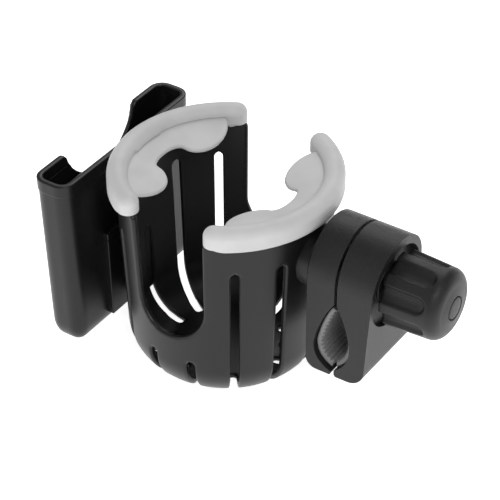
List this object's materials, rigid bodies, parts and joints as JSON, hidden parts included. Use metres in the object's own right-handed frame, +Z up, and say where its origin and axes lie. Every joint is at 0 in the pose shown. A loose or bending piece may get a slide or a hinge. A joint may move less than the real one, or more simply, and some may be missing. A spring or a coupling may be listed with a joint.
{
  "type": "clamp-on cup holder",
  "caption": "Slotted cup with soft grey rim grips, a swivelling tube clamp with a knob and ribbed pads, and a lift-off phone pocket.",
  "frame": {"origin": "centre of the cup's flat underside, on the cup's axis", "axes": "+Z up along the cup's axis, +X from the cup towards the clamp and its knob, +Y across, towards the far side cut-out"},
  "size_m": [0.1803, 0.0924, 0.097],
  "materials": {
    "black_plastic": "satin black moulded plastic",
    "grained_plastic": "black plastic with a fine grain",
    "grey_soft": "light grey soft moulding, matte",
    "pad_rubber": "mid grey ribbed rubber",
    "steel": "zinc plated",
    "brass": "turned",
    "nylon": "natural white"
  },
  "bodies": {
    "cup": {"cup_cage": "black_plastic", "clamp_side_rim_cover": "grey_soft", "pocket_side_rim_cover": "grey_soft", "clamp_side_leaf_root": "grey_soft", "pocket_side_leaf_root": "grey_soft", "swivel_wave_washer": "steel", "swivel_friction_washer": "nylon"},
    "clamp": {"swivel_hub": "black_plastic", "hub_insert": "brass", "hub_screw_near": "steel", "hub_screw_far": "steel", "swivel_screw": "steel", "inner_jaw": "grained_plastic", "inner_jaw_pad": "pad_rubber", "clamp_bolt": "steel", "bolt_stop_clip": "steel", "jaw_spring": "steel"},
    "sliding_jaw": {"outer_jaw": "grained_plastic", "outer_jaw_pad": "pad_rubber", "knob_thrust_washer": "steel"},
    "knob": {"knob_body": "grained_plastic", "knob_insert": "brass", "knob_cap": "grained_plastic"},
    "pocket": {"phone_pocket": "black_plastic"},
    "clamp_side_far_lobe": {"clamp_side_lobe_far": "grey_soft"},
    "clamp_side_near_lobe": {"clamp_side_lobe_near": "grey_soft"},
    "pocket_side_far_lobe": {"pocket_side_lobe_far": "grey_soft"},
    "pocket_side_near_lobe": {"pocket_side_lobe_near": "grey_soft"}
  },
  "joints": [
    {"name": "clamp_swivel", "type": "hinge", "parent": "cup", "child": "clamp", "pos_m": [0.05, 0, 0.0686], "axis": [1, 0, 0], "continuous": true},
    {"name": "knob_turn", "type": "hinge", "parent": "sliding_jaw", "child": "knob", "pos_m": [0.081, 0, 0.0686], "axis": [1, 0, 0], "range_deg": [0, 5765]},
    {"name": "jaw_slide", "type": "slide", "parent": "clamp", "child": "sliding_jaw", "axis": [1, 0, 0], "range_m": [0, 0.02], "deforming": ["jaw_spring"]},
    {"name": "pocket_lift", "type": "slide", "parent": "cup", "child": "pocket", "axis": [-0.028, 0, 0.9996], "range_m": [0, 0.031]},
    {"name": "clamp_side_far_lobe_fold", "type": "hinge", "parent": "cup", "child": "clamp_side_far_lobe", "pos_m": [0.02997, 0.02384, 0.09006], "axis": [0.6225, -0.7826, 0], "range_deg": [0, 60], "stiffness_Nm_per_rad": 0.004},
    {"name": "clamp_side_near_lobe_fold", "type": "hinge", "parent": "cup", "child": "clamp_side_near_lobe", "pos_m": [0.02997, -0.02384, 0.09006], "axis": [-0.6225, -0.7826, 0], "range_deg": [0, 60], "stiffness_Nm_per_rad": 0.004},
    {"name": "pocket_side_far_lobe_fold", "type": "hinge", "parent": "cup", "child": "pocket_side_far_lobe", "pos_m": [-0.02997, 0.02384, 0.09006], "axis": [0.6225, 0.7826, 0], "range_deg": [0, 60], "stiffness_Nm_per_rad": 0.004},
    {"name": "pocket_side_near_lobe_fold", "type": "hinge", "parent": "cup", "child": "pocket_side_near_lobe", "pos_m": [-0.02997, -0.02384, 0.09006], "axis": [-0.6225, 0.7826, 0], "range_deg": [0, 60], "stiffness_Nm_per_rad": 0.004}
  ],
  "couplings": [
    {"joint": "knob_turn", "follows": "jaw_slide", "rad_per_m": 5026.5}
  ]
}
